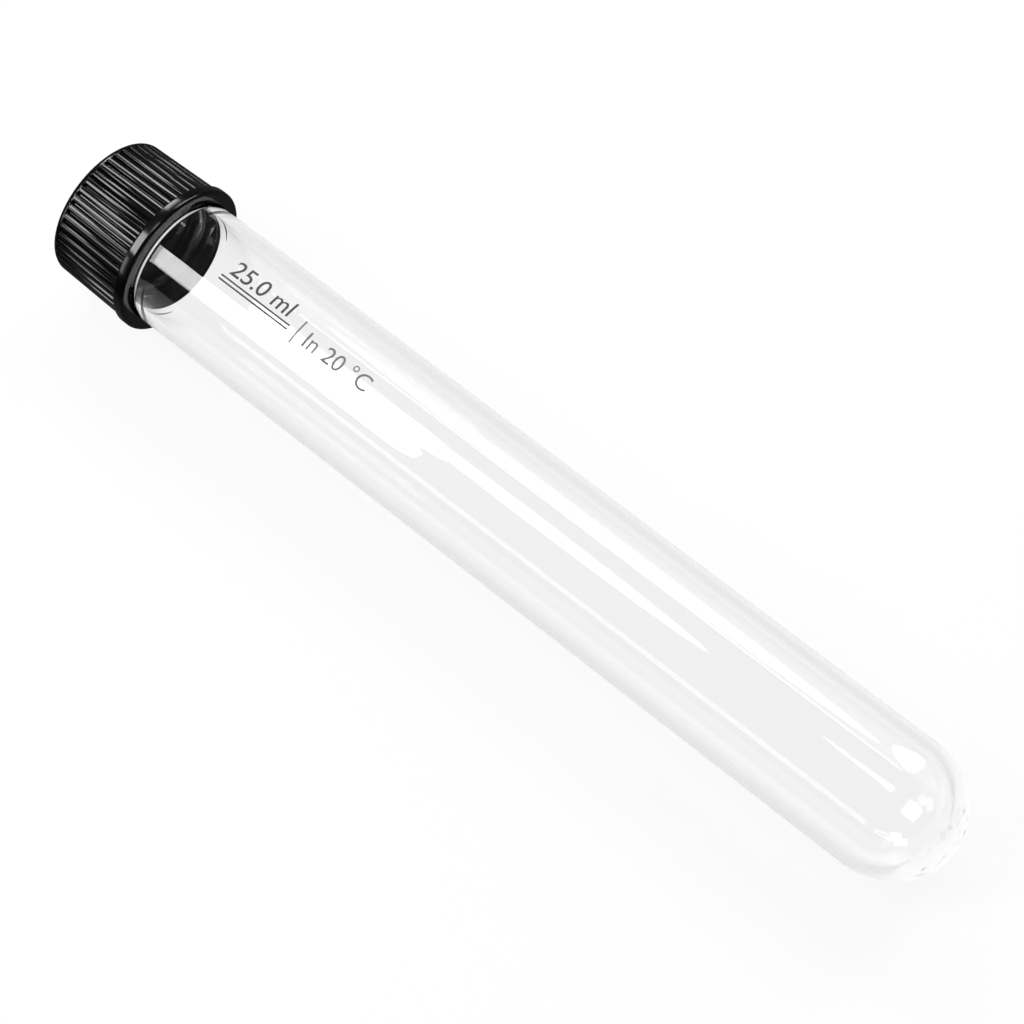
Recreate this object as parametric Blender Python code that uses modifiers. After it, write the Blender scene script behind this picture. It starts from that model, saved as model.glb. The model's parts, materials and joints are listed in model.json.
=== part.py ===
"""Screw-cap test tube lying on its side: a round-bottomed glass tube, its ribbed cap and the cap's liner.

Every piece is turned about one axis. Heights run along that axis, from the tip of the tube's round end to the
top of the cap, and an empty lays the axis down along X, with the round end towards +X and the cap towards -X.
The capped tube rests on the bead round the cap's skirt.
"""

import math

import bmesh
import bpy

MM = 0.001

# Glass tube
TUBE_DIAMETER = 20.0 * MM
TUBE_LENGTH = 150.0 * MM
GLASS_WALL = 1.4 * MM
ROUND_END_DEPTH = 10.8 * MM
ROUND_END_WALL = 1.6 * MM

# Neck, which the cap screws on to
NECK_HEIGHT = 11.9 * MM
NECK_STEP = 1.2 * MM
NECK_FILLET = 0.5 * MM
NECK_WALL = 1.0 * MM
TAPER_START = 0.5 * MM
TAPER_LENGTH = 3.0 * MM

# Cap
CAP_STANDOFF = 0.9 * MM
CAP_TOP_WALL = 1.7 * MM
CAP_TOP_EDGE = 1.0 * MM
CAP_DRAFT = 0.35 * MM
THREAD_ROOM = 1.2 * MM
LIP_CLEARANCE = 0.35 * MM
LIP_LAND = 1.2 * MM
BEAD_HEIGHT = 1.9 * MM
BEAD_REACH = 0.4 * MM
BEAD_EDGE = 0.5 * MM

# Ribs of the cap's grip
RIB_COUNT = 45
RIB_DEPTH = 0.6 * MM
RIB_CREST = 0.5 * MM
RIB_FOOT = 0.1 * MM
RIB_RUNOUT = 0.8 * MM

# Liner
LINER_THICKNESS = 1.7 * MM
LINER_EDGE = 0.25 * MM

# Clearance between pieces that seat on each other
SEAT_GAP = 0.3 * MM

# Facets: an odd count puts a flat facet under the axis, which the tube rests on
TURN_STEPS = 45
ARC_STEPS = 6
ROUND_END_STEPS = 10

# Sizes that follow from those above
TUBE_RADIUS = TUBE_DIAMETER / 2
BORE_RADIUS = TUBE_RADIUS - GLASS_WALL
NECK_RADIUS = TUBE_RADIUS - NECK_STEP
NECK_BORE_RADIUS = NECK_RADIUS - NECK_WALL
SHOULDER_HEIGHT = TUBE_LENGTH - NECK_HEIGHT
LIP_HEIGHT = SHOULDER_HEIGHT + CAP_STANDOFF
LINER_BOTTOM = TUBE_LENGTH + SEAT_GAP
LINER_TOP = LINER_BOTTOM + LINER_THICKNESS
CAP_CEILING = LINER_TOP + SEAT_GAP
CAP_TOP = CAP_CEILING + CAP_TOP_WALL
CAP_BORE_RADIUS = NECK_RADIUS + THREAD_ROOM
LINER_RADIUS = CAP_BORE_RADIUS - SEAT_GAP
LIP_RADIUS = TUBE_RADIUS + LIP_CLEARANCE
CAP_BASE_RADIUS = LIP_RADIUS + LIP_LAND
CAP_TOP_RADIUS = CAP_BASE_RADIUS - CAP_DRAFT
BEAD_RADIUS = CAP_BASE_RADIUS + BEAD_REACH
AXIS_HEIGHT = BEAD_RADIUS * math.cos(math.pi / TURN_STEPS)


def clear_scene():
    """Remove every object that the file starts with."""
    for found in list(bpy.data.objects):
        bpy.data.objects.remove(found, do_unlink=True)


def new_collection(name):
    """Add a collection to the scene."""
    collection = bpy.data.collections.new(name)
    bpy.context.scene.collection.children.link(collection)
    return collection


def new_material(name, colour, roughness, transmission=0.0):
    """Make a Principled material from a linear colour."""
    material = bpy.data.materials.new(name)
    material.use_nodes = True
    shader = material.node_tree.nodes["Principled BSDF"]
    shader.inputs["Base Color"].default_value = (*colour, 1.0)
    shader.inputs["Roughness"].default_value = roughness
    shader.inputs["Metallic"].default_value = 0.0
    shader.inputs["Transmission Weight"].default_value = transmission
    shader.inputs["IOR"].default_value = 1.47
    return material


def arc(centre, size, start, end, steps=ARC_STEPS):
    """Points (radius, height) along an elliptical arc, with angles in degrees from the outward direction."""
    points = []
    for step in range(steps + 1):
        angle = math.radians(start + (end - start) * step / steps)
        radius = centre[0] + size[0] * math.cos(angle)
        height = centre[1] + size[1] * math.sin(angle)
        points.append((max(radius, 0.0), height))
    return points


def shoulder(outer_radius, inner_radius, meeting_height, fillet):
    """Points down a rounded shoulder: a hollow fillet below the neck, then a round edge out to the body."""
    edge = outer_radius - inner_radius - fillet
    turn_radius = inner_radius + fillet
    hollow = arc((turn_radius, meeting_height + fillet), (fillet, fillet), 180, 270)
    edge_round = arc((turn_radius, meeting_height - edge), (edge, edge), 90, 0)
    return hollow + edge_round[1:]


def bore_taper(start_height):
    """Points up the bore where it narrows smoothly from the body to the neck."""
    points = []
    for step in range(ARC_STEPS + 1):
        share = step / ARC_STEPS
        narrowing = (BORE_RADIUS - NECK_BORE_RADIUS) * (1 - math.cos(math.pi * share)) / 2
        points.append((BORE_RADIUS - narrowing, start_height + TAPER_LENGTH * share))
    return points


def tube_profile():
    """The glass wall: up the bore from the inner tip, over the fire-polished rim and down the outside."""
    meeting = SHOULDER_HEIGHT + NECK_STEP - NECK_FILLET
    inner_size = (BORE_RADIUS, ROUND_END_DEPTH - ROUND_END_WALL)
    inner_end = arc((0.0, ROUND_END_DEPTH), inner_size, -90, 0, ROUND_END_STEPS)
    inner_neck = bore_taper(SHOULDER_HEIGHT + TAPER_START)
    rim = NECK_WALL / 2
    rim_round = arc((NECK_RADIUS - rim, TUBE_LENGTH - rim), (rim, rim), 180, 0)
    outer_neck = shoulder(TUBE_RADIUS, NECK_RADIUS, meeting, NECK_FILLET)
    outer_end = arc((0.0, ROUND_END_DEPTH), (TUBE_RADIUS, ROUND_END_DEPTH), 0, -90, ROUND_END_STEPS)
    return inner_end + inner_neck + rim_round + outer_neck + outer_end


def cap_profile():
    """The cap's shell: out over the top, down the drafted side, round the bead and up the bore."""
    edge_centre = (CAP_TOP_RADIUS - CAP_TOP_EDGE, CAP_TOP - CAP_TOP_EDGE)
    top_edge = arc(edge_centre, (CAP_TOP_EDGE, CAP_TOP_EDGE), 90, 0)
    upper_centre = (CAP_BASE_RADIUS, LIP_HEIGHT + BEAD_HEIGHT - BEAD_REACH)
    bead_upper = arc(upper_centre, (BEAD_REACH, BEAD_REACH), 90, 0)
    lower_centre = (BEAD_RADIUS - BEAD_EDGE, LIP_HEIGHT + BEAD_EDGE)
    bead_lower = arc(lower_centre, (BEAD_EDGE, BEAD_EDGE), 0, -90)
    lead_in = LIP_RADIUS - CAP_BORE_RADIUS
    lip = arc((LIP_RADIUS, LIP_HEIGHT + lead_in), (lead_in, lead_in), -90, -180)
    ceiling = [(CAP_BORE_RADIUS, CAP_CEILING), (0.0, CAP_CEILING)]
    return [(0.0, CAP_TOP)] + top_edge + bead_upper + bead_lower + lip + ceiling


def liner_profile():
    """The liner: a flat disc with eased edges."""
    size = (LINER_EDGE, LINER_EDGE)
    middle = LINER_RADIUS - LINER_EDGE
    upper = arc((middle, LINER_TOP - LINER_EDGE), size, 90, 0, 3)
    lower = arc((middle, LINER_BOTTOM + LINER_EDGE), size, 0, -90, 3)
    return [(0.0, LINER_TOP)] + upper + lower + [(0.0, LINER_BOTTOM)]


def turned(name, profile, material, collection, axis):
    """Turn a profile that runs down its outer side into a solid about the axis."""
    mesh = bpy.data.meshes.new(name)
    points = [(radius, 0.0, height) for radius, height in profile]
    edges = [(start, start + 1) for start in range(len(points) - 1)]
    mesh.from_pydata(points, edges, [])
    mesh.materials.append(material)
    piece = bpy.data.objects.new(name, mesh)
    collection.objects.link(piece)
    piece.parent = axis
    screw = piece.modifiers.new("Turn", "SCREW")
    screw.axis = "Z"
    screw.angle = math.tau
    screw.steps = TURN_STEPS
    screw.render_steps = TURN_STEPS
    screw.use_merge_vertices = True
    screw.merge_threshold = 0.00001
    screw.use_smooth_shade = True
    return piece


def side_radius(height):
    """Radius of the cap's drafted side at a height."""
    bead_top = LIP_HEIGHT + BEAD_HEIGHT
    rise = (height - bead_top) / (CAP_TOP - CAP_TOP_EDGE - bead_top)
    return CAP_BASE_RADIUS - CAP_DRAFT * rise


def rib_grooves(collection, axis):
    """Cutters that leave the ribs standing: round grooves that run out below the cap's rounded top edge."""
    bottom = LIP_HEIGHT + BEAD_HEIGHT + RIB_FOOT
    top = CAP_TOP - CAP_TOP_EDGE
    pitch = math.tau * side_radius((bottom + top) / 2) / RIB_COUNT
    half_width = (pitch - RIB_CREST) / 2
    groove_radius = (half_width ** 2 + RIB_DEPTH ** 2) / (2 * RIB_DEPTH)
    stations = ((bottom, RIB_DEPTH), (top - RIB_RUNOUT, RIB_DEPTH), (top, 0.0))
    curve = bpy.data.curves.new("rib_grooves", "CURVE")
    curve.dimensions = "3D"
    curve.bevel_depth = groove_radius
    curve.bevel_resolution = 2
    curve.use_fill_caps = True
    for rib in range(RIB_COUNT):
        turn = math.tau * (rib + 0.5) / RIB_COUNT
        spline = curve.splines.new("POLY")
        spline.points.add(len(stations) - 1)
        for point, (height, depth) in zip(spline.points, stations):
            radius = side_radius(height) - depth + groove_radius
            point.co = (radius * math.cos(turn), radius * math.sin(turn), height, 1.0)
    path = bpy.data.objects.new("rib_groove_paths", curve)
    collection.objects.link(path)
    path.parent = axis
    return as_cutter(path, "rib_grooves", collection)


def as_cutter(path, name, collection):
    """Turn a bevelled curve into a closed mesh cutter in the same place."""
    bpy.context.view_layer.update()
    seen = path.evaluated_get(bpy.context.evaluated_depsgraph_get())
    mesh = bpy.data.meshes.new_from_object(seen)
    welded = bmesh.new()
    welded.from_mesh(mesh)
    bmesh.ops.remove_doubles(welded, verts=welded.verts, dist=0.000001)
    bmesh.ops.recalc_face_normals(welded, faces=welded.faces)
    welded.to_mesh(mesh)
    welded.free()
    cutter = bpy.data.objects.new(name, mesh)
    collection.objects.link(cutter)
    cutter.matrix_world = path.matrix_world
    cutter.hide_render = True
    cutter.display_type = "WIRE"
    bpy.data.objects.remove(path, do_unlink=True)
    return cutter


def cut(piece, cutter):
    """Take a cutter's shape out of a piece."""
    boolean = piece.modifiers.new("Ribs", "BOOLEAN")
    boolean.operation = "DIFFERENCE"
    boolean.solver = "EXACT"
    boolean.object = cutter


def lay_down(collection):
    """The common axis: an empty that lays the heights down along X over the resting surface."""
    axis = bpy.data.objects.new("tube_axis", None)
    collection.objects.link(axis)
    axis.location = (CAP_TOP / 2, 0.0, AXIS_HEIGHT)
    axis.rotation_euler = (0.0, -math.pi / 2, 0.0)
    return axis


def main():
    """Build the three pieces on their axis."""
    clear_scene()
    parts = new_collection("screw_cap_test_tube")
    cutters = new_collection("cutters")
    axis = lay_down(parts)
    glass = new_material("borosilicate glass", (0.93, 0.95, 0.95), 0.02, transmission=1.0)
    plastic = new_material("black phenolic plastic", (0.010, 0.010, 0.011), 0.3)
    rubber = new_material("black rubber", (0.016, 0.016, 0.016), 0.7)
    turned("glass_tube", tube_profile(), glass, parts, axis)
    cap = turned("screw_cap", cap_profile(), plastic, parts, axis)
    cut(cap, rib_grooves(cutters, axis))
    turned("cap_liner", liner_profile(), rubber, parts, axis)


main()
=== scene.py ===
import json
import math

import bmesh
import bpy
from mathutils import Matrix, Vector


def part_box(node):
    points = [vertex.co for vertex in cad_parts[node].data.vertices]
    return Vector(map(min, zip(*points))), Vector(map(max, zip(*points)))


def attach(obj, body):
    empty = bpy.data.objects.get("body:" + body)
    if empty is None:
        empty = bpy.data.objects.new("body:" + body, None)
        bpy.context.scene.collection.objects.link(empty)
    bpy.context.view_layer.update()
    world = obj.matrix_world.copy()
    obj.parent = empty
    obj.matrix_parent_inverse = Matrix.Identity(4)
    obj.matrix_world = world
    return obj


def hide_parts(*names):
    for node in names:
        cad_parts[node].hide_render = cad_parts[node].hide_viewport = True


bl_info = {
    "name": "Screw-cap test tube",
    "version": (1, 0, 0),
    "blender": (4, 5, 0),
    "location": "3D View > Sidebar > Test tube",
    "description": "Models a capped glass test tube round its packed solids, in a white studio",
    "category": "Object",
}

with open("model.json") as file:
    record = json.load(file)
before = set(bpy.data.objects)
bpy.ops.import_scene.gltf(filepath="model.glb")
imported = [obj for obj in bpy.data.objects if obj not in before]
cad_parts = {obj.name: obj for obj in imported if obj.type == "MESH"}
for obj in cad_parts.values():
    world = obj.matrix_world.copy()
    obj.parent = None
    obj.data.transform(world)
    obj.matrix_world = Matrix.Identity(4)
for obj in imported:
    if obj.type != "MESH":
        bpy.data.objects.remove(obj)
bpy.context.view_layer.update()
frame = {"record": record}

MM = 0.001

# Places along the tube, read from the solids. Heights run from the tip of the round end, along -X, to the
# cap's top.
TUBE_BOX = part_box("glass_tube")
CAP_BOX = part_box("screw_cap")
LINER_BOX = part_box("cap_liner")
TIP = TUBE_BOX[1].x
TUBE_LENGTH = TIP - TUBE_BOX[0].x
LIP_HEIGHT = TIP - CAP_BOX[1].x
CAP_TOP = TIP - CAP_BOX[0].x
LINER_TOP = TIP - LINER_BOX[0].x
LINER_BOTTOM = TIP - LINER_BOX[1].x
AXIS_HEIGHT = next(m["pos_m"][2] for m in frame["record"]["mounts"] if m["name"] == "cap_top")
AXIS_POINT = Vector((0.0, 0.0, AXIS_HEIGHT))

# The solids have flat facets, so their outermost vertices, above the axis, give the true radii.
TUBE_RADIUS = TUBE_BOX[1].z - AXIS_HEIGHT
BEAD_RADIUS = CAP_BOX[1].z - AXIS_HEIGHT
LINER_RADIUS = LINER_BOX[1].z - AXIS_HEIGHT

# Facets
GLASS_SEGMENTS = 320
LINER_SEGMENTS = 96
RIB_COLUMNS = 20
ROUND_END_STEPS = 30
ARC_STEPS = 8
WELD = 0.002 * MM


def linear(hex_colour):
    """A colour written as sRGB hex, as linear red, green and blue."""
    channels = [int(hex_colour[i:i + 2], 16) / 255 for i in (1, 3, 5)]
    return [c / 12.92 if c <= 0.04045 else ((c + 0.055) / 1.055) ** 2.4 for c in channels]


def size(name, description, default):
    """A length that a user may change."""
    return bpy.props.FloatProperty(
        name=name, description=description, default=default, min=0.0, precision=5,
        subtype="DISTANCE", unit="LENGTH",
    )


def colour(name, description, default):
    """A colour that a user may change, from its sRGB hex value."""
    return bpy.props.FloatVectorProperty(
        name=name, description=description, default=linear(default), min=0.0, max=1.0, subtype="COLOR"
    )


class GlassSettings(bpy.types.PropertyGroup):
    """Sizes and colour of the glass tube."""

    wall: size("Wall", "Thickness of the glass", 1.4 * MM)
    end_depth: size("Round end", "Depth of the round end, from its tip to the straight wall", 10.8 * MM)
    end_wall: size("Tip wall", "Thickness of the glass at the tip", 2.2 * MM)
    tip_mark: size("Tip mark", "Depth of the uneven mark that blowing left inside the tip", 0.07 * MM)
    neck_height: size("Neck", "Height of the neck and its shoulder, up to the rim", 11.9 * MM)
    neck_step: size("Neck step", "How far the neck is drawn in from the body", 1.2 * MM)
    neck_wall: size("Neck wall", "Thickness of the glass at the neck", 1.0 * MM)
    shoulder_length: size("Shoulder", "Length over which the outside is drawn in to the neck", 1.7 * MM)
    taper_start: size("Bore taper start", "Height above the shoulder's foot where the bore narrows", 0.6 * MM)
    taper_length: size("Bore taper", "Length over which the bore narrows to the neck", 3.0 * MM)
    thread_pitch: size("Thread pitch", "Rise of the thread in one turn", 3.175 * MM)
    thread_depth: size("Thread depth", "How far the thread stands out of the neck", 0.95 * MM)
    tint: colour("Tint", "Colour that the clear glass gives to light", "#FFFFFF")


class CapSettings(bpy.types.PropertyGroup):
    """Sizes and colour of the screw cap."""

    top_wall: size("Top wall", "Thickness of the cap's flat top", 1.7 * MM)
    top_edge: size("Top edge", "Radius of the rounded edge of the top", 1.0 * MM)
    draft: size("Draft", "How much the side leans in towards the top", 0.35 * MM)
    bore_room: size("Thread room", "Gap between the neck and the cap's bore", 1.2 * MM)
    thread_depth: size("Thread depth", "How far the thread stands into the bore", 0.95 * MM)
    lip_clearance: size("Lip clearance", "Gap between the lip and the glass", 0.12 * MM)
    lip_land: size("Lip land", "Width of the lip's flat end", 1.43 * MM)
    bead_height: size("Bead height", "Height of the bead round the skirt", 1.9 * MM)
    bead_reach: size("Bead reach", "How far the bead stands out of the side", 0.4 * MM)
    bead_edge: size("Bead edge", "Radius of the bead's lower edge", 0.5 * MM)
    rib_count: bpy.props.IntProperty(name="Ribs", description="Ribs round the grip", default=45, min=3)
    rib_depth: size("Rib depth", "How far the ribs stand out of the grooves", 0.6 * MM)
    rib_crest: size("Rib crest", "Width of a rib's rounded crest", 1.1 * MM)
    rib_crown: size("Rib crown", "How far a crest is rounded", 0.14 * MM)
    rib_flank: size("Rib flank", "Width of a rib's steep flank", 0.15 * MM)
    rib_foot: size("Rib foot", "Height of the sloping ledge between the grooves and the bead", 0.1 * MM)
    rib_runout: size("Rib run-out", "Height over which the grooves run out below the top edge", 0.15 * MM)
    colour: colour("Colour", "Colour of the moulded plastic", "#040404")


class LinerSettings(bpy.types.PropertyGroup):
    """Sizes and colour of the cap's liner."""

    edge: size("Edge", "Radius of the eased edge", 0.25 * MM)
    print_depth: size("Pressed ring", "Depth of the ring that the rim has pressed", 0.12 * MM)
    colour: colour("Colour", "Colour of the rubber", "#0C0C0C")


class MarkSettings(bpy.types.PropertyGroup):
    """Sizes and colour of the printed marks."""

    figure_height: size("Figure height", "Height of the capacity's figures", 2.8 * MM)
    small_height: size("Small figure height", "Height of the temperature's figures", 2.6 * MM)
    line_width: size("Line width", "Width of the printed lines", 0.25 * MM)
    ink_thickness: size("Ink thickness", "Thickness of the fired ink", 0.02 * MM)
    colour: colour("Colour", "Colour of the capacity's ink", "#303236")
    faint_colour: colour("Faint colour", "Colour of the temperature's and the tick's thinner ink", "#606366")


class StageSettings(bpy.types.PropertyGroup):
    """Colours of the studio."""

    floor_colour: colour("Floor", "Colour of the floor", "#FAFAFA")
    studio_colour: colour("Studio", "Colour of the dim studio all round, which the glass mirrors", "#4A4A4A")
    level: bpy.props.FloatProperty(
        name="Light level", description="Level of all softboxes", default=1.0, min=0.0
    )


class TestTubeSettings(bpy.types.PropertyGroup):
    """All settings of the test tube."""

    glass: bpy.props.PointerProperty(type=GlassSettings)
    cap: bpy.props.PointerProperty(type=CapSettings)
    liner: bpy.props.PointerProperty(type=LinerSettings)
    marks: bpy.props.PointerProperty(type=MarkSettings)
    stage: bpy.props.PointerProperty(type=StageSettings)


# Modelling


def arc(centre, reach, start, end, steps=ARC_STEPS):
    """Points (radius, height) along an elliptical arc, with angles in degrees from the outward direction."""
    points = []
    for step in range(steps + 1):
        angle = math.radians(start + (end - start) * step / steps)
        radius = centre[0] + reach[0] * math.cos(angle)
        points.append((max(radius, 0.0), centre[1] + reach[1] * math.sin(angle)))
    return points


def run(start, end, steps):
    """Points along a straight line from start to end, without the two ends."""
    return [tuple(a + (b - a) * step / steps for a, b in zip(start, end)) for step in range(1, steps)]


def held_run(start, end):
    """The middle of a line and points just inside its ends, which keep its smooth shading straight."""
    hold = 0.1 * MM / math.dist(start, end)
    return [tuple(a + (b - a) * share for a, b in zip(start, end)) for share in (hold, 0.5, 1.0 - hold)]


def place(radius, height, turn=0.0):
    """Where a point of a profile is, with its turn about the axis from straight up towards +Y."""
    return Vector((TIP - height, radius * math.sin(turn), AXIS_HEIGHT + radius * math.cos(turn)))


def reading(point):
    """The radius, height and turn of a point."""
    across = point - AXIS_POINT
    return math.hypot(across.y, across.z), TIP - point.x, math.atan2(across.y, across.z)


def draw_outline(name, profile):
    """Draw a profile: a plane merged to a point, then extruded from point to point. Stays in edit mode."""
    bpy.ops.object.select_all(action="DESELECT")
    bpy.ops.mesh.primitive_plane_add(size=MM)
    piece = bpy.context.object
    piece.name = piece.data.name = name
    bpy.ops.object.mode_set(mode="EDIT")
    bpy.ops.mesh.select_mode(type="VERT")
    bpy.ops.mesh.merge(type="CENTER")
    bpy.ops.transform.translate(value=place(*profile[0]))
    for start, end in zip(profile, profile[1:]):
        step = place(*end) - place(*start)
        bpy.ops.mesh.extrude_vertices_move(TRANSFORM_OT_translate={"value": step})
    return piece


def spin(steps, angle=math.tau, copies=False):
    """Spin everything about the tube's axis, from straight up towards +Y."""
    bpy.ops.mesh.select_all(action="SELECT")
    bpy.ops.mesh.spin(steps=steps, angle=angle, dupli=copies, center=AXIS_POINT, axis=(1.0, 0.0, 0.0))
    weld()


def weld():
    """Merge doubles, then turn all faces outwards."""
    bpy.ops.mesh.select_all(action="SELECT")
    bpy.ops.mesh.remove_doubles(threshold=WELD)
    bpy.ops.mesh.normals_make_consistent(inside=False)


def pick(test):
    """Select the vertices whose radius, height and turn pass a test."""
    bpy.ops.mesh.select_all(action="DESELECT")
    edited = bpy.context.object.data
    mesh = bmesh.from_edit_mesh(edited)
    for vertex in mesh.verts:
        vertex.select = test(*reading(vertex.co))
    mesh.select_flush_mode()
    bmesh.update_edit_mesh(edited)


def finish_piece(piece, material, body, node=None, smooth_angle=None):
    """Leave edit mode, smooth and dress the piece, tie it to its body, and hide its solid if it has one."""
    if bpy.context.mode == "EDIT_MESH":
        bpy.ops.object.mode_set(mode="OBJECT")
    bpy.ops.object.transform_apply(location=True, rotation=True, scale=True)
    if smooth_angle is None:
        bpy.ops.object.shade_smooth()
    else:
        bpy.ops.object.shade_smooth_by_angle(angle=math.radians(smooth_angle))
    piece.data.materials.clear()
    piece.data.materials.append(material)
    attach(piece, body)
    if node:
        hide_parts(node)


def smooth_step(low, high, value):
    """0 below low, 1 above high, and a smooth rise between them."""
    share = min(max((value - low) / (high - low), 0.0), 1.0)
    return share * share * (3.0 - 2.0 * share)


def raise_thread(piece, surface, depth, width, pitch, start, turns):
    """Raise a right-hand thread out of a round surface. A spin gives no helix, so each vertex is moved."""
    fade = math.radians(50)
    reach = 0.02 * MM
    flat_share = 0.12
    for vertex in piece.data.vertices:
        radius, height, turn = reading(vertex.co)
        if abs(radius - surface) > reach:
            continue
        wind = turn + math.tau * round((height - start) / pitch - turn / math.tau)
        offset = abs(height - start - pitch * wind / math.tau)
        ends = smooth_step(0.0, fade, wind) * smooth_step(0.0, fade, turns * math.tau - wind)
        rise = depth * ends * (1.0 - smooth_step(flat_share * width, width / 2, offset))
        if rise:
            vertex.co = place(radius + rise, height, turn)


def roughen_tip(piece, glass):
    """Raise the uneven mark that blowing leaves inside the tip, as waves that each vertex is moved by."""
    reach = 7.5 * MM
    for vertex in piece.data.vertices:
        radius, height, turn = reading(vertex.co)
        share = radius / reach
        if share >= 1.0 or not glass.end_wall / 2 < height < glass.end_depth:
            continue
        waves = math.cos(7.0 * turn + 15.0 * share) + 0.6 * math.cos(11.0 * turn - 22.0 * share)
        waves += math.cos(18.0 * share)
        rise = glass.tip_mark * share * (1.0 - share * share) * waves
        vertex.co = place(radius, height + rise, turn)


# Materials


def add_node(tree, kind, inputs=(), links=(), **settings):
    """Add a node with its settings, input values and links, as pairs of an input and a value or output."""
    node = tree.nodes.new(kind)
    for name, value in settings.items():
        setattr(node, name, value)
    for socket, value in inputs:
        node.inputs[socket].default_value = value
    for socket, output in links:
        tree.links.new(output, node.inputs[socket])
    return node


def new_material(name):
    """An empty node material, with its tree and its output node."""
    material = bpy.data.materials.new(name)
    material.use_nodes = True
    material.node_tree.nodes.clear()
    return material, material.node_tree, add_node(material.node_tree, "ShaderNodeOutputMaterial")


def borosilicate_glass(settings):
    """Drawn borosilicate glass, fire polished: clear and smooth, with faint draw lines along the tube."""
    streak_width = 2.5 * MM
    streak_length = 90.0 * MM
    material, tree, output = new_material("borosilicate_glass")
    place_in = add_node(tree, "ShaderNodeTexCoord")
    stretch = add_node(
        tree, "ShaderNodeMapping", [("Scale", (1 / streak_length, 1 / streak_width, 1 / streak_width))],
        [("Vector", place_in.outputs["Object"])],
    )
    streaks = add_node(
        tree, "ShaderNodeTexNoise", [("Scale", 1.0), ("Detail", 1.0)],
        [("Vector", stretch.outputs["Vector"])],
    )
    bump = add_node(
        tree, "ShaderNodeBump", [("Strength", 1.0), ("Distance", 0.0005 * MM)],
        [("Height", streaks.outputs["Fac"])],
    )
    shader = add_node(
        tree, "ShaderNodeBsdfPrincipled",
        [
            ("Base Color", (*settings.tint, 1.0)),
            ("Roughness", 0.0),
            ("IOR", 1.474),
            ("Transmission Weight", 1.0),
        ],
        [("Normal", bump.outputs["Normal"])],
    )
    tree.links.new(shader.outputs["BSDF"], output.inputs["Surface"])
    return material


def black_phenolic(settings):
    """Phenolic resin, pressed in a polished mould: black, semi-gloss, faintly clouded, with a fine grain."""
    cloud_size = 4.0 * MM
    grain_size = 0.35 * MM
    material, tree, output = new_material("black_phenolic")
    place_in = add_node(tree, "ShaderNodeTexCoord")
    clouds = add_node(
        tree, "ShaderNodeTexNoise", [("Scale", 1 / cloud_size), ("Detail", 4.0)],
        [("Vector", place_in.outputs["Object"])],
    )
    grain = add_node(
        tree, "ShaderNodeTexNoise", [("Scale", 1 / grain_size), ("Detail", 2.0)],
        [("Vector", place_in.outputs["Object"])],
    )
    tone = add_node(
        tree, "ShaderNodeMix",
        [("A", (*settings.colour, 1.0)), ("B", (*[1.6 * c for c in settings.colour], 1.0))],
        [("Factor", clouds.outputs["Fac"])], data_type="RGBA",
    )
    gloss = add_node(
        tree, "ShaderNodeMapRange",
        [("From Min", 0.3), ("From Max", 0.7), ("To Min", 0.12), ("To Max", 0.18)],
        [("Value", clouds.outputs["Fac"])],
    )
    bump = add_node(
        tree, "ShaderNodeBump", [("Strength", 1.0), ("Distance", 0.0015 * MM)],
        [("Height", grain.outputs["Fac"])],
    )
    shader = add_node(
        tree, "ShaderNodeBsdfPrincipled", [("IOR", 1.5)],
        [
            ("Base Color", tone.outputs["Result"]),
            ("Roughness", gloss.outputs["Result"]),
            ("Normal", bump.outputs["Normal"]),
        ],
    )
    tree.links.new(shader.outputs["BSDF"], output.inputs["Surface"])
    return material


def black_rubber(settings):
    """Moulded black rubber: matt, with a fine open grain and a dusty bloom in patches."""
    bloom_size = 3.0 * MM
    grain_size = 0.25 * MM
    material, tree, output = new_material("black_rubber")
    place_in = add_node(tree, "ShaderNodeTexCoord")
    bloom = add_node(
        tree, "ShaderNodeTexNoise", [("Scale", 1 / bloom_size), ("Detail", 5.0)],
        [("Vector", place_in.outputs["Object"])],
    )
    grain = add_node(
        tree, "ShaderNodeTexNoise", [("Scale", 1 / grain_size), ("Detail", 2.0)],
        [("Vector", place_in.outputs["Object"])],
    )
    tone = add_node(
        tree, "ShaderNodeMix",
        [("A", (*settings.colour, 1.0)), ("B", (*[1.5 * c for c in settings.colour], 1.0))],
        [("Factor", bloom.outputs["Fac"])], data_type="RGBA",
    )
    bump = add_node(
        tree, "ShaderNodeBump", [("Strength", 1.0), ("Distance", 0.02 * MM)],
        [("Height", grain.outputs["Fac"])],
    )
    shader = add_node(
        tree, "ShaderNodeBsdfPrincipled", [("Roughness", 0.65), ("IOR", 1.52)],
        [("Base Color", tone.outputs["Result"]), ("Normal", bump.outputs["Normal"])],
    )
    tree.links.new(shader.outputs["BSDF"], output.inputs["Surface"])
    return material


def fired_ink(name, ink_colour):
    """Ceramic ink, screen printed and fired on: dark grey, half matt, with a slightly uneven cover."""
    mottle_size = 0.4 * MM
    material, tree, output = new_material(name)
    place_in = add_node(tree, "ShaderNodeTexCoord")
    mottle = add_node(
        tree, "ShaderNodeTexNoise", [("Scale", 1 / mottle_size), ("Detail", 3.0)],
        [("Vector", place_in.outputs["Object"])],
    )
    tone = add_node(
        tree, "ShaderNodeMix", [("A", (*ink_colour, 1.0)), ("B", (*[1.5 * c for c in ink_colour], 1.0))],
        [("Factor", mottle.outputs["Fac"])], data_type="RGBA",
    )
    shader = add_node(
        tree, "ShaderNodeBsdfPrincipled", [("Roughness", 0.5), ("IOR", 1.5)],
        [("Base Color", tone.outputs["Result"])],
    )
    tree.links.new(shader.outputs["BSDF"], output.inputs["Surface"])
    return material


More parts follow.
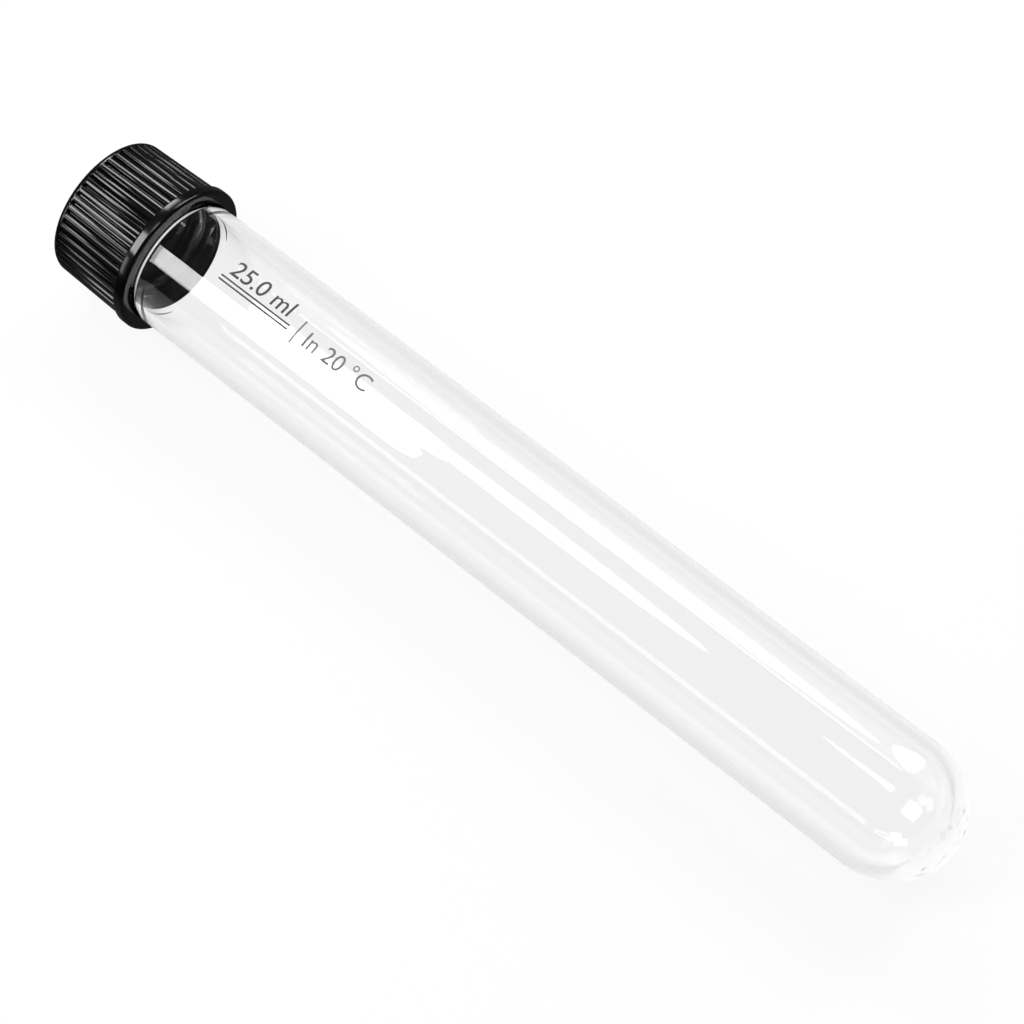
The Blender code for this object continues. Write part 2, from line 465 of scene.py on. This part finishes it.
def white_floor(settings):
    """White matt card, nearly plain white to the camera, with enough of its own shading for a faint shadow.

    The glass sees painted shadow on it: bands beside the tube and past its end darken it, and one lightens
    it again, set to give the tube its soft grey edges. Dull gloss sees little of it.
    """
    camera_share = 0.9
    gloss_loss = 0.9
    # Painted shadow on the card, as bands that darken it beside the tube and past its end, and one that
    # lightens it again: an axis, where a band begins and is complete in mm, what it multiplies the card's
    # brightness by from there on, and whether it shows in mirror images alone.
    painted_shadow_bands = [
        ("Y", 16.0, 32.0, 0.82, False),
        ("Y", -5.0, -9.0, 0.8, False),
        ("Y", -11.0, -19.0, 1.18, False),
        ("X", 80.0, 100.0, 0.75, False),
        ("Y", -25.0, -42.0, 0.1, True),
    ]
    material, tree, output = new_material("white_card")
    path = add_node(tree, "ShaderNodeLightPath")
    place_in = add_node(tree, "ShaderNodeTexCoord")
    parts = add_node(tree, "ShaderNodeSeparateXYZ", [], [("Vector", place_in.outputs["Object"])])
    card = add_node(tree, "ShaderNodeBsdfDiffuse", [("Color", (*settings.floor_colour, 1.0))])
    mirrored = add_node(
        tree, "ShaderNodeMath", [],
        [(0, path.outputs["Is Glossy Ray"]), (1, path.outputs["Is Reflection Ray"])], operation="MULTIPLY",
    )
    dull = add_node(
        tree, "ShaderNodeMath", [], [(0, mirrored.outputs["Value"]), (1, path.outputs["Is Singular Ray"])],
        operation="SUBTRACT", use_clamp=True,
    )
    strength = add_node(
        tree, "ShaderNodeMapRange", [("To Min", 1.0), ("To Max", 1.0 - gloss_loss)],
        [("Value", dull.outputs["Value"])],
    )
    # Paint the shadow bands into the card's brightness as the glass and gloss see it; the camera never sees
    # them.
    for axis, edge, complete, level, in_mirrors in painted_shadow_bands:
        shadow_band = add_node(
            tree, "ShaderNodeMapRange",
            [("From Min", edge * MM), ("From Max", complete * MM), ("To Min", 1.0), ("To Max", level)],
            [("Value", parts.outputs[axis])], interpolation_type="SMOOTHSTEP",
        )
        if in_mirrors:
            shadow_band = add_node(
                tree, "ShaderNodeMix", [("A", 1.0)],
                [("Factor", mirrored.outputs["Value"]), ("B", shadow_band.outputs["Result"])],
            )
        strength = add_node(
            tree, "ShaderNodeMath", [], [(0, strength.outputs[0]), (1, shadow_band.outputs["Result"])],
            operation="MULTIPLY",
        )
    strength = add_node(
        tree, "ShaderNodeMath", [], [(0, strength.outputs["Value"]), (1, path.outputs["Is Camera Ray"])],
        operation="MAXIMUM",
    )
    plain = add_node(
        tree, "ShaderNodeEmission", [("Color", (1.0, 1.0, 1.0, 1.0))],
        [("Strength", strength.outputs["Value"])],
    )
    seen = add_node(
        tree, "ShaderNodeMath", [(1, camera_share)], [(0, path.outputs["Is Camera Ray"])],
        operation="MULTIPLY",
    )
    for kind in ("Is Glossy Ray", "Is Transmission Ray"):
        seen = add_node(
            tree, "ShaderNodeMath", [], [(0, seen.outputs["Value"]), (1, path.outputs[kind])],
            operation="MAXIMUM",
        )
    mix = add_node(
        tree, "ShaderNodeMixShader", [],
        [(0, seen.outputs["Value"]), (1, card.outputs["BSDF"]), (2, plain.outputs["Emission"])],
    )
    tree.links.new(mix.outputs["Shader"], output.inputs["Surface"])
    return material


# Pieces


def drawn_in(start, end, steps=24):
    """Points (radius, height) of a wall that is drawn in smoothly from one radius to another."""
    points = []
    for step in range(steps + 1):
        share = step / steps
        radius = start[0] + (end[0] - start[0]) * smooth_step(0.0, 1.0, share)
        points.append((radius, start[1] + (end[1] - start[1]) * share))
    return points


class TESTTUBE_OT_glass_tube(bpy.types.Operator):
    """Blow the glass tube: round end, body, shoulder, and a threaded neck with a fire-polished rim"""

    bl_idname = "testtube.glass_tube"
    bl_label = "Glass tube"

    def execute(self, context):
        glass = context.scene.test_tube.glass
        bore = TUBE_RADIUS - glass.wall
        neck = TUBE_RADIUS - glass.neck_step
        neck_bore = neck - glass.neck_wall
        shoulder_low = TUBE_LENGTH - glass.neck_height
        shoulder_high = shoulder_low + glass.shoulder_length
        end_centre = (0.0, glass.end_depth)
        inner_end = arc(end_centre, (bore, glass.end_depth - glass.end_wall), -90, 0, ROUND_END_STEPS)
        taper_low = shoulder_low + glass.taper_start
        inner_neck = drawn_in((bore, taper_low), (neck_bore, taper_low + glass.taper_length))
        rim = glass.neck_wall / 2
        rim_round = arc((neck - rim, TUBE_LENGTH - rim), (rim, rim), 180, 0)
        outer_neck = drawn_in((neck, shoulder_high), (TUBE_RADIUS, shoulder_low))
        thread_rows = 48
        thread_run = run(rim_round[-1], outer_neck[0], thread_rows)
        outer_end = arc(end_centre, (TUBE_RADIUS, glass.end_depth), 0, -90, ROUND_END_STEPS)
        profile = inner_end + held_run(inner_end[-1], inner_neck[0]) + inner_neck
        profile += held_run(inner_neck[-1], rim_round[0]) + rim_round + thread_run
        profile += outer_neck + held_run(outer_neck[-1], outer_end[0]) + outer_end
        piece = draw_outline("tube_glass", profile)
        spin(GLASS_SEGMENTS)
        bpy.ops.object.mode_set(mode="OBJECT")
        thread_start = outer_neck[0][1] + 1.2 * MM
        thread_width = 1.9 * MM
        turns = 1.75
        raise_thread(piece, neck, glass.thread_depth, thread_width, glass.thread_pitch, thread_start, turns)
        roughen_tip(piece, glass)
        finish_piece(piece, borosilicate_glass(glass), "tube", "glass_tube")
        return {"FINISHED"}


class TESTTUBE_OT_screw_cap(bpy.types.Operator):
    """Mould the screw cap: one rib's slice of the shell, copied round, and a thread raised in the bore"""

    bl_idname = "testtube.screw_cap"
    bl_label = "Screw cap"

    def execute(self, context):
        cap = context.scene.test_tube.cap
        glass = context.scene.test_tube.glass
        neck = TUBE_RADIUS - glass.neck_step
        bore = neck + cap.bore_room
        lip = TUBE_RADIUS + cap.lip_clearance
        base = lip + cap.lip_land
        top = base - cap.draft
        bead_top = LIP_HEIGHT + cap.bead_height
        side_top = CAP_TOP - cap.top_edge
        ceiling = CAP_TOP - cap.top_wall

        def side(height):
            return base - cap.draft * (height - bead_top) / (side_top - bead_top)

        edge_round = arc((top - cap.top_edge, side_top), (cap.top_edge, cap.top_edge), 90, 0)
        foot = bead_top + cap.rib_foot
        runout_steps = 3
        runout = [side_top - cap.rib_runout * step / runout_steps for step in range(1, runout_steps + 1)]
        rib_rows = [(side(height), height) for height in (*runout, foot)]
        bead_upper = arc((base, bead_top - cap.bead_reach), (cap.bead_reach, cap.bead_reach), 90, 0)
        edge_centre = (BEAD_RADIUS - cap.bead_edge, LIP_HEIGHT + cap.bead_edge)
        bead_lower = arc(edge_centre, (cap.bead_edge, cap.bead_edge), 0, -90)
        lead_in = lip - bore
        lip_round = arc((lip, LIP_HEIGHT + lead_in), (lead_in, lead_in), -90, -180)
        thread_rows = 30
        bore_run = run(lip_round[-1], (bore, ceiling), thread_rows)
        profile = [(0.0, CAP_TOP)] + edge_round + rib_rows + bead_upper + bead_lower + lip_round + bore_run
        profile += [(bore, ceiling), (0.0, ceiling)]
        piece = draw_outline("cap_shell", profile)

        slice_angle = math.tau / cap.rib_count
        spin(RIB_COLUMNS, slice_angle)
        slack = 0.01 * MM
        half_crest = cap.rib_crest / 2
        for column in range(RIB_COLUMNS + 1):
            turn = slice_angle * column / RIB_COLUMNS
            offset = base * min(turn, slice_angle - turn)
            flank_share = min(max((offset - half_crest) / cap.rib_flank, 0.0), 1.0)
            fall = cap.rib_crown * min(offset / half_crest, 1.0) ** 2
            fall += (cap.rib_depth - cap.rib_crown) * flank_share
            for radius, height in rib_rows:
                depth = fall * smooth_step(0.0, cap.rib_runout, side_top - height)
                if depth <= 0.0:
                    continue
                pick(lambda r, h, t: r > lip and abs(h - height) < slack and abs(t - turn) * r < slack)
                bpy.ops.transform.translate(value=place(-depth, 0.0, turn) - place(0.0, 0.0))
        spin(cap.rib_count - 1, math.tau - slice_angle, copies=True)
        bpy.ops.object.mode_set(mode="OBJECT")
        thread_start = LIP_HEIGHT + 3.4 * MM
        thread_width = 1.6 * MM
        turns = 1.9
        raise_thread(piece, bore, -cap.thread_depth, thread_width, glass.thread_pitch, thread_start, turns)
        finish_piece(piece, black_phenolic(cap), "cap", "screw_cap", smooth_angle=50)
        return {"FINISHED"}


class TESTTUBE_OT_cap_liner(bpy.types.Operator):
    """Cut the liner: a rubber disc with eased edges and the ring that the rim has pressed into it"""

    bl_idname = "testtube.cap_liner"
    bl_label = "Cap liner"

    def execute(self, context):
        liner = context.scene.test_tube.liner
        glass = context.scene.test_tube.glass
        eased = (liner.edge, liner.edge)
        middle = LINER_RADIUS - liner.edge
        upper = arc((middle, LINER_TOP - liner.edge), eased, 90, 0, 4)
        lower = arc((middle, LINER_BOTTOM + liner.edge), eased, 0, -90, 4)
        rim_middle = TUBE_RADIUS - glass.neck_step - glass.neck_wall / 2
        ring = arc((rim_middle, LINER_BOTTOM), (glass.neck_wall / 2, liner.print_depth), 0, 180)
        profile = [(0.0, LINER_TOP)] + upper + lower + ring + [(0.0, LINER_BOTTOM)]
        piece = draw_outline("liner_disc", profile)
        spin(LINER_SEGMENTS)
        finish_piece(piece, black_rubber(liner), "liner", "cap_liner", smooth_angle=40)
        return {"FINISHED"}


def wrap_print(name, start, baseline, thickness, ink):
    """Wrap the selected flat mesh round the glass: X along the tube from start, Y round it from baseline."""
    piece = bpy.context.object
    piece.name = piece.data.name = name
    strip = 0.2 * MM
    bpy.ops.object.transform_apply(location=True, rotation=True, scale=True)
    bpy.ops.object.mode_set(mode="EDIT")
    low = min(vertex.co.y for vertex in piece.data.vertices)
    high = max(vertex.co.y for vertex in piece.data.vertices)
    for cut in range(1, math.ceil((high - low) / strip)):
        bpy.ops.mesh.select_all(action="SELECT")
        bpy.ops.mesh.bisect(plane_co=(0.0, low + cut * strip, 0.0), plane_no=(0.0, 1.0, 0.0))
    bpy.ops.object.mode_set(mode="OBJECT")
    ink_gap = 0.004 * MM
    radius = TUBE_RADIUS + ink_gap
    for vertex in piece.data.vertices:
        turn = math.radians(baseline) + vertex.co.y / radius
        vertex.co = place(radius, LIP_HEIGHT - start - vertex.co.x, turn)
    film = piece.modifiers.new("Film", "SOLIDIFY")
    film.thickness = thickness
    film.offset = 1.0
    bpy.ops.object.modifier_apply(modifier=film.name)
    bpy.ops.object.mode_set(mode="EDIT")
    weld()
    finish_piece(piece, ink, "tube", smooth_angle=30)


def print_text(name, words, height, weight, start, baseline, thickness, ink):
    """Print words on the glass, with figures of the given height and strokes made heavier by a weight."""
    figure_share = 0.73
    bpy.ops.object.select_all(action="DESELECT")
    bpy.ops.object.text_add()
    text = bpy.context.object
    text.data.body = words
    text.data.size = height / figure_share
    text.data.offset = weight
    bpy.ops.object.convert(target="MESH")
    wrap_print(name, start, baseline, thickness, ink)


class TESTTUBE_OT_printed_marks(bpy.types.Operator):
    """Print the capacity, its double rule, the fill tick and the calibration temperature on the glass"""

    bl_idname = "testtube.printed_marks"
    bl_label = "Printed marks"

    def execute(self, context):
        marks = context.scene.test_tube.marks
        film = marks.ink_thickness
        dark = fired_ink("fired_ceramic_ink", marks.colour)
        faint = fired_ink("fired_ceramic_ink_thin", marks.faint_colour)
        # Name, words, height, extra weight, start along the tube from the lip, turn of the baseline, ink
        words = [
            ("capacity_mark", "25.0 ml", marks.figure_height, 0.015 * MM, 11.8 * MM, -5.5, dark),
            ("temperature_mark", "In 20 °C", marks.small_height, 0.0, 27.2 * MM, -17.0, faint),
        ]
        for name, text, height, weight, start, baseline, ink in words:
            print_text(name, text, height, weight, start, baseline, film, ink)
        # Name, length along the tube, width round it, start along the tube, turn of the lower edge, ink
        bars = [
            ("capacity_rule_lower", 13.1 * MM, marks.line_width, 11.2 * MM, -14.2, dark),
            ("capacity_rule_upper", 13.1 * MM, marks.line_width, 11.2 * MM, -10.6, dark),
            ("fill_tick", marks.line_width, 4.0 * MM, 25.65 * MM, -21.0, faint),
        ]
        for name, length, width, start, baseline, ink in bars:
            self.bar(name, length, width, start, baseline, film, ink)
        return {"FINISHED"}

    def bar(self, name, length, width, start, baseline, thickness, ink):
        """Print a straight bar, from its lower left corner."""
        bpy.ops.object.select_all(action="DESELECT")
        bpy.ops.mesh.primitive_plane_add(size=1.0, location=(length / 2, width / 2, 0.0))
        bpy.context.object.scale = (length, width, 1.0)
        wrap_print(name, start, baseline, thickness, ink)


# Studio

# Softboxes hang parallel to the tube: where their middle is along X and how far from the axis, their lean
# from straight up towards +Y, their length along X, their width, their radiance, their outline, and where
# they show: mirrored by the outer face of the glass (outer), through it and in its inner faces (inner), in
# both, or in dull surfaces and not in the glass (dull).
SOFTBOXES = [
    ("key_softbox", -0.48, 0.75, -36.0, 0.32, 0.43, 9.0, "RECTANGLE", "both"),
    ("key_softbox_end", -0.32, 0.75, -36.0, 0.066, 0.43, 9.0, "ELLIPSE", "both"),
    ("rear_softbox", -0.685, 0.75, 37.0, 0.44, 0.32, 9.0, "RECTANGLE", "dull"),
    ("front_softbox", -0.685, 0.75, -75.0, 0.44, 0.34, 3.0, "RECTANGLE", "dull"),
    ("overhead_strip", -0.187, 0.59, -7.5, 0.185, 0.2, 5.0, "ELLIPSE", "outer"),
    ("side_strip", -0.206, 0.75, 42.0, 0.309, 0.32, 3.0, "ELLIPSE", "outer"),
    ("line_strip", -0.226, 0.75, 34.0, 0.373, 0.055, 4.0, "RECTANGLE", "inner"),
    ("end_strip", 0.03, 0.59, -4.0, 0.15, 0.1, 5.0, "ELLIPSE", "outer"),
    ("end_softbox", 0.015, 0.75, 51.0, 0.11, 0.487, 6.0, "RECTANGLE", "outer"),
    ("end_softbox_top", -0.04, 0.75, 51.0, 0.014, 0.487, 6.0, "ELLIPSE", "outer"),
    ("end_softbox_tip", 0.07, 0.75, 51.0, 0.2, 0.487, 6.0, "ELLIPSE", "outer"),
]

CAMERA_PLACE = (113.5 * MM, -129.2 * MM, 329.85 * MM)
CAMERA_AZIMUTH = 40.896
CAMERA_ELEVATION = 61.679
CAMERA_LENS = 92.26
SENSOR_WIDTH = 36.0


class TESTTUBE_OT_stage(bpy.types.Operator):
    """Set up the white floor, the studio's light and the camera"""

    bl_idname = "testtube.stage"
    bl_label = "Stage"

    def execute(self, context):
        stage = context.scene.test_tube.stage
        self.lay_floor(stage)
        self.light_world(context.scene, stage)
        for softbox in SOFTBOXES:
            self.hang_softbox(stage, *softbox)
        self.set_camera(context.scene)
        context.scene.view_settings.view_transform = "Standard"
        return {"FINISHED"}

    def lay_floor(self, stage):
        """Lay the floor against the cap's bead and the end of the tube's straight wall."""
        floor_size = 6.0
        bead_foot = place(-BEAD_RADIUS, LIP_HEIGHT)
        end_foot = place(-TUBE_RADIUS, bpy.context.scene.test_tube.glass.end_depth)
        along = end_foot - bead_foot
        lean = -math.atan2(along.z, along.x)
        bpy.ops.object.select_all(action="DESELECT")
        middle = (bead_foot + end_foot) / 2
        bpy.ops.mesh.primitive_plane_add(size=floor_size, location=middle, rotation=(0.0, lean, 0.0))
        floor = bpy.context.object
        floor.name = floor.data.name = "studio_floor"
        bpy.ops.object.transform_apply(location=True, rotation=True, scale=True)
        floor.data.materials.append(white_floor(stage))

    def light_world(self, scene, stage):
        """A dim studio, which the camera sees as plain white."""
        world = bpy.data.worlds.new("studio")
        world.use_nodes = True
        tree = world.node_tree
        tree.nodes.clear()
        path = add_node(tree, "ShaderNodeLightPath")
        tone = add_node(
            tree, "ShaderNodeMix", [("A", (*stage.studio_colour, 1.0)), ("B", (1.0, 1.0, 1.0, 1.0))],
            [("Factor", path.outputs["Is Camera Ray"])], data_type="RGBA",
        )
        light = add_node(
            tree, "ShaderNodeBackground", [("Strength", 1.0)], [("Color", tone.outputs["Result"])]
        )
        add_node(tree, "ShaderNodeOutputWorld", [], [("Surface", light.outputs["Background"])])
        scene.world = world

    def hang_softbox(self, stage, name, along, distance, lean, length, width, radiance, shape, mirrored):
        """Hang a softbox that faces the tube."""
        turn = math.radians(lean)
        spot = (along, distance * math.sin(turn), AXIS_HEIGHT + distance * math.cos(turn))
        bpy.ops.object.light_add(type="AREA", location=spot, rotation=(-turn, 0.0, 0.0))
        lamp = bpy.context.object
        lamp.name = lamp.data.name = name
        lamp.data.shape = shape
        lamp.data.size = length
        lamp.data.size_y = width
        area = length * width * (math.pi / 4 if shape == "ELLIPSE" else 1.0)
        lamp.data.energy = stage.level * radiance * math.pi * area
        lamp.visible_glossy = mirrored != "inner"
        lamp.visible_transmission = mirrored != "outer"
        if mirrored == "dull":
            lamp.data.use_nodes = True
            tree = lamp.data.node_tree
            path = add_node(tree, "ShaderNodeLightPath")
            dull = add_node(
                tree, "ShaderNodeMath", [(0, 1.0)], [(1, path.outputs["Is Singular Ray"])],
                operation="SUBTRACT",
            )
            tree.links.new(dull.outputs["Value"], tree.nodes["Emission"].inputs["Strength"])

    def set_camera(self, scene):
        """Set the camera where the photograph was taken from."""
        aim = (math.radians(90.0 - CAMERA_ELEVATION), 0.0, math.radians(CAMERA_AZIMUTH))
        bpy.ops.object.camera_add(location=CAMERA_PLACE, rotation=aim)
        camera = bpy.context.object
        camera.data.sensor_fit = "AUTO"
        camera.data.sensor_width = SENSOR_WIDTH
        camera.data.lens = CAMERA_LENS
        camera.data.clip_start = 0.01
        scene.camera = camera


class TESTTUBE_PT_panel(bpy.types.Panel):
    """Settings and steps of the test tube"""

    bl_idname = "TESTTUBE_PT_panel"
    bl_label = "Test tube"
    bl_space_type = "VIEW_3D"
    bl_region_type = "UI"
    bl_category = "Test tube"

    def draw(self, context):
        settings = context.scene.test_tube
        groups = (settings.glass, settings.cap, settings.liner, settings.marks, settings.stage)
        for step, group in zip(STEPS, groups):
            box = self.layout.box()
            box.operator(step.bl_idname)
            for name in group.__annotations__:
                box.prop(group, name)


STEPS = (
    TESTTUBE_OT_glass_tube,
    TESTTUBE_OT_screw_cap,
    TESTTUBE_OT_cap_liner,
    TESTTUBE_OT_printed_marks,
    TESTTUBE_OT_stage,
)
GROUPS = (GlassSettings, CapSettings, LinerSettings, MarkSettings, StageSettings, TestTubeSettings)


def register():
    """Register the settings, the steps and the panel."""
    for item in (*GROUPS, *STEPS, TESTTUBE_PT_panel):
        bpy.utils.register_class(item)
    bpy.types.Scene.test_tube = bpy.props.PointerProperty(type=TestTubeSettings)


def unregister():
    """Take the settings, the steps and the panel away again."""
    del bpy.types.Scene.test_tube
    for item in reversed((*GROUPS, *STEPS, TESTTUBE_PT_panel)):
        bpy.utils.unregister_class(item)


def main():
    """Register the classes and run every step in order."""
    register()
    bpy.ops.testtube.glass_tube()
    bpy.ops.testtube.screw_cap()
    bpy.ops.testtube.cap_liner()
    bpy.ops.testtube.printed_marks()
    bpy.ops.testtube.stage()


if __name__ == "__main__":
    main()
